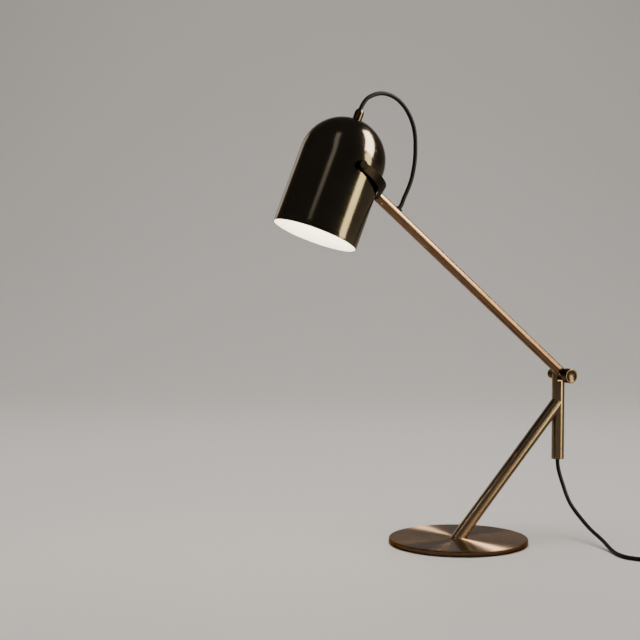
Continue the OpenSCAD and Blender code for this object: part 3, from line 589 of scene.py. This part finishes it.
# Stage: a pale floor that curves up behind the lamp, soft lights and the camera
CAMERA_PLACE = Vector((-0.9811, -1.5445, 0.3759))
CAMERA_TURN = radians(-27.11)
CAMERA_PITCH = radians(3.20)
FORWARD = Vector((-sin(CAMERA_TURN), cos(CAMERA_TURN), 0))
RIGHT = Vector((cos(CAMERA_TURN), sin(CAMERA_TURN), 0))


def sweep_floor():
    """The floor, which curves up into a back wall."""
    profile = [(-7, 0), (1.6, 0)]
    for i in range(1, 13):
        a = radians(90 * i / 12)
        profile.append((1.6 + 1.2 * sin(a), 1.2 - 1.2 * cos(a)))
    profile.append((2.8, 5))
    points = []
    for d, z in profile:
        for side in (-7, 7):
            points.append(FORWARD * d + RIGHT * side + Vector((0, 0, z)))
    faces = [(2 * i, 2 * i + 1, 2 * i + 3, 2 * i + 2) for i in range(len(profile) - 1)]
    paper = grained("pale_floor", (0.78, 0.75, 0.71), 0.8, 400, 0.00001, change=0.01, gloss=0.0)
    floor = mesh_object("floor", points, faces, materials=[paper])


def soft_light(name, place, aim, size, power, color, slant=0.0, in_reflections=True, on_floor=True):
    """A rectangular light at place, turned to aim and slanted by an angle about that line.

    Some are only seen in reflections, some never are.
    """
    light = bpy.data.lights.new(name, "AREA")
    light.shape = "RECTANGLE"
    light.size, light.size_y = size
    light.energy = power
    light.color = color
    obj = bpy.data.objects.new(name, light)
    obj.location = place
    turn = (Vector(aim) - Vector(place)).to_track_quat("-Z", "Y")
    obj.rotation_euler = (turn @ Quaternion((0, 0, 1), slant)).to_euler()
    obj.visible_glossy = in_reflections
    obj.visible_diffuse = on_floor
    obj.visible_camera = False
    bpy.context.scene.collection.objects.link(obj)


sweep_floor()
UP = Vector((0, 0, 1))
AIM = Vector((-0.05, 0, 0.3))
WINDOW = HEAD + RIGHT * 1.3
LOW_PANE = WINDOW - FORWARD * 0.45 - UP * 0.04
HIGH_PANE = WINDOW + FORWARD * 0.26 + UP * 1.01
PANE_SLANT = radians(-45)
STRIP = HEAD - RIGHT * 0.51 - FORWARD * 1.41 + UP * 1.75
LEFT_STRIP = HEAD - RIGHT * 0.7 + FORWARD * 1.1
PANE_YELLOW = (1.0, 0.95, 0.64)
PANE_WHITE = (1.0, 0.98, 0.92)
STRIP_WHITE = (0.93, 0.98, 1.0)
soft_light("low_pane", LOW_PANE, LOW_PANE - RIGHT, (0.48, 0.78), 17, PANE_YELLOW, on_floor=False)
soft_light("high_pane", HIGH_PANE, HIGH_PANE - RIGHT, (0.64, 1.8), 155, PANE_WHITE, slant=PANE_SLANT,
           on_floor=False)
soft_light("front_strip", STRIP, HEAD, (0.4, 2.0), 3.2, STRIP_WHITE, on_floor=False)
soft_light("left_strip", LEFT_STRIP, HEAD, (0.3, 1.2), 2.5, PANE_WHITE, on_floor=False)
soft_light("top_light", AIM + FORWARD * 0.2 + UP * 2.3, AIM, (2.4, 2.4), 70, (1.0, 0.97, 0.93),
           in_reflections=False)

world = bpy.data.worlds.new("studio")
world.use_nodes = True
background = world.node_tree.nodes["Background"]
background.inputs["Color"].default_value = (0.9, 0.92, 1.0, 1)
background.inputs["Strength"].default_value = 0.12
bpy.context.scene.world = world

camera_data = bpy.data.cameras.new("camera")
camera_data.sensor_width = 36
camera_data.lens = 84.375
camera_data.clip_end = 50
camera = bpy.data.objects.new("camera", camera_data)
camera.location = CAMERA_PLACE
camera.rotation_euler = (pi / 2 - CAMERA_PITCH, 0, CAMERA_TURN)
bpy.context.scene.collection.objects.link(camera)
bpy.context.scene.camera = camera
